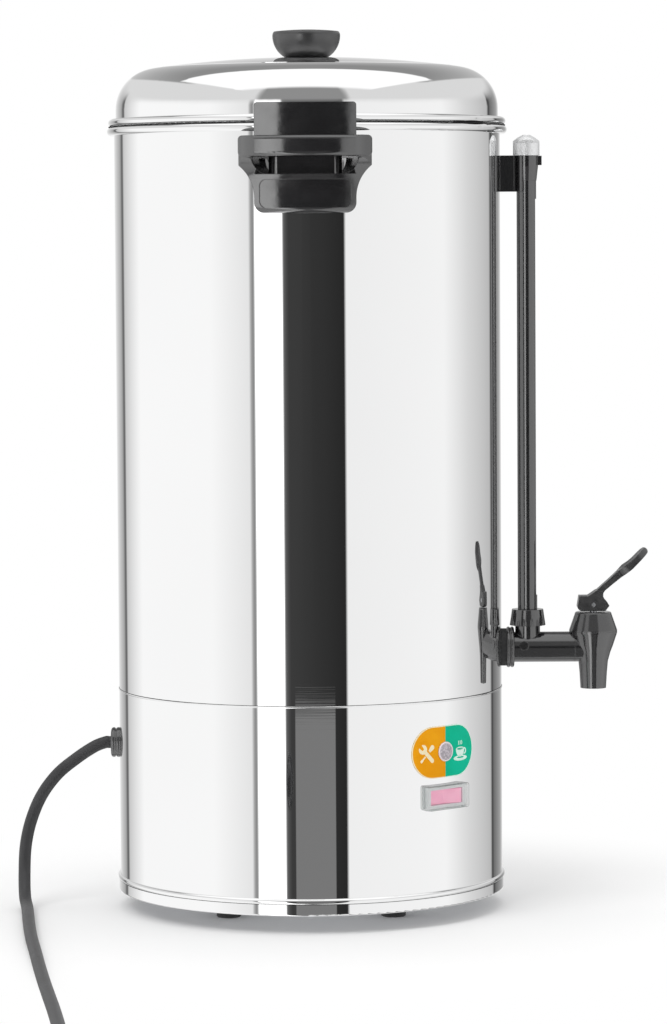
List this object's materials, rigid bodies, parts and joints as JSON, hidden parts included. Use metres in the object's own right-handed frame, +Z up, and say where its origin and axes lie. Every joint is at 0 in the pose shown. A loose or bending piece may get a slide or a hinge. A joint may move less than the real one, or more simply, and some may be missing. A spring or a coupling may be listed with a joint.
{
  "type": "hot water urn",
  "caption": "Cylindrical stainless hot water urn with a domed lift-off lid, two moulded handles, a sight gauge, a lever tap and a switch on its heated base.",
  "frame": {"origin": "middle of the footprint, on the floor under the tank's axis", "axes": "+Z up along the tank's axis, +X towards the tap, the handles at -Y and +Y"},
  "size_m": [0.3545, 0.7588, 0.4907],
  "materials": {
    "steel": "mirror polished stainless",
    "chrome_cap": "bright plated",
    "plated": "zinc plated",
    "rubber": "matte",
    "aluminium": "cast",
    "element": "heat darkened",
    "black_plastic": "satin",
    "black_gloss": "gloss moulded",
    "porcelain": "glazed ceramic",
    "wire": "insulated wire",
    "cord_sheath": "satin sheath",
    "brass": "plain",
    "pink_plastic": "translucent",
    "clear_cover": "clear flexible boot",
    "lens": "smoked clear",
    "white_plastic": "satin",
    "orange_film": "printed film",
    "green_film": "printed film",
    "plug_rubber": "moulded",
    "glass": "clear",
    "silicone": "silicone"
  },
  "bodies": {
    "urn": {"tank_shell": "steel", "base_shell": "steel", "gauge_cap": "chrome_cap", "base_plate": "plated", "base_screws": "plated", "foot_screws": "plated", "foot_nuts": "plated", "feet": "rubber", "heater_plate": "aluminium", "heating_element": "element", "thermostat": "black_plastic", "thermal_cutout": "porcelain", "sensor_screws": "plated", "terminal_block": "porcelain", "block_screws": "plated", "earth_stud": "plated", "inner_wires": "wire", "lead_inside": "cord_sheath", "switch_frame": "black_plastic", "switch_terminals": "brass", "switch_cover": "clear_cover", "indicator_lens": "lens", "indicator_body": "white_plastic", "indicator_nut": "black_plastic", "label_orange": "orange_film", "label_green": "green_film", "cord_grip": "black_plastic", "cord_grip_nut": "black_plastic", "cord_run": "cord_sheath", "cord_coil": "cord_sheath", "cord_tail": "cord_sheath", "plug_body": "plug_rubber", "plug_pins": "plated", "handle_left": "black_gloss", "handle_right": "black_gloss", "handle_screws": "plated", "tap_shank": "black_gloss", "shank_washers": "rubber", "shank_nut": "plated", "gauge_nut": "black_gloss", "gauge_seals": "rubber", "gauge_glass": "glass", "gauge_guard": "black_gloss", "gauge_bracket": "black_gloss", "bracket_screw": "plated", "tap_body": "black_gloss", "tap_bonnet": "black_gloss", "tap_spring": "plated"},
    "lid": {"lid_shell": "steel", "lid_knob": "black_gloss", "knob_washer": "rubber", "knob_screw": "plated"},
    "rocker": {"switch_rocker": "pink_plastic"},
    "stem": {"tap_stem": "plated", "seat_cup": "silicone"},
    "lever": {"tap_lever": "black_gloss", "lever_pin": "plated"}
  },
  "joints": [
    {"name": "lid_lift", "type": "slide", "parent": "urn", "child": "lid", "axis": [0, 0, 1], "range_m": [0, 0.12]},
    {"name": "rocker_turn", "type": "hinge", "parent": "urn", "child": "rocker", "pos_m": [0.07085, -0.07545, 0.0708], "axis": [0, 0, 1], "range_deg": [0, 16]},
    {"name": "tap_valve", "type": "slide", "parent": "urn", "child": "stem", "axis": [0, 0, 1], "range_m": [0, 0.0035], "deforming": ["tap_spring"]},
    {"name": "tap_lever_turn", "type": "hinge", "parent": "stem", "child": "lever", "pos_m": [0.1591, 0, 0.1685], "axis": [0, 1, 0], "range_deg": [0, 30], "stiffness_Nm_per_rad": 0.1, "springref_deg": -5.73}
  ],
  "couplings": [
    {"joint": "tap_valve", "follows": "tap_lever_turn", "m_per_rad": 0.00668}
  ]
}
